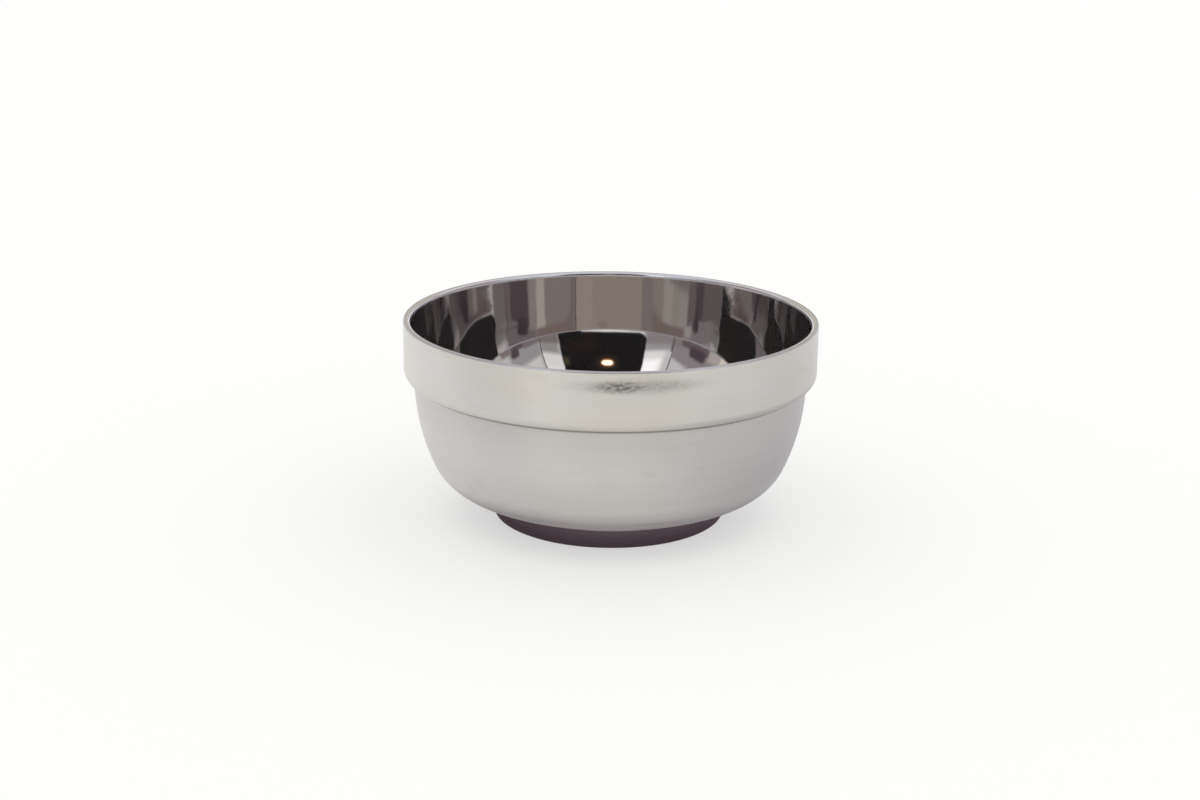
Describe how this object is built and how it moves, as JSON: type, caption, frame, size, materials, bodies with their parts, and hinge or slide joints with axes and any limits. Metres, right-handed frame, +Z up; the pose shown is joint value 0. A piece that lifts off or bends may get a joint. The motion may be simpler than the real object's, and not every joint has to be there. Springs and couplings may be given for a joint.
{
  "type": "double-walled stainless steel bowl",
  "caption": "Round double-walled steel serving bowl with a stepped rim band, satin outside, mirror inside, on a low welded foot ring.",
  "frame": {"origin": "centre of the foot ring's contact face, on the bowl's axis", "axes": "+Z up along the bowl's axis; X and Y in the plane that the bowl stands on, and the bowl is round, so their bearing is free"},
  "size_m": [0.13, 0.13, 0.0638],
  "materials": {
    "mirror_steel": "mirror polished stainless steel",
    "satin_steel": "fine satin, brushed round the bowl",
    "ground_seam": "ground and buffed weld",
    "foot_steel": "polished stainless steel",
    "weld_steel": "weld metal with a faint straw tint"
  },
  "bodies": {
    "root": {"inner_shell": "mirror_steel", "outer_shell": "satin_steel", "rim_seam": "ground_seam", "foot_ring": "foot_steel", "foot_welds": "weld_steel", "vent_plug": "weld_steel"}
  },
  "joints": []
}
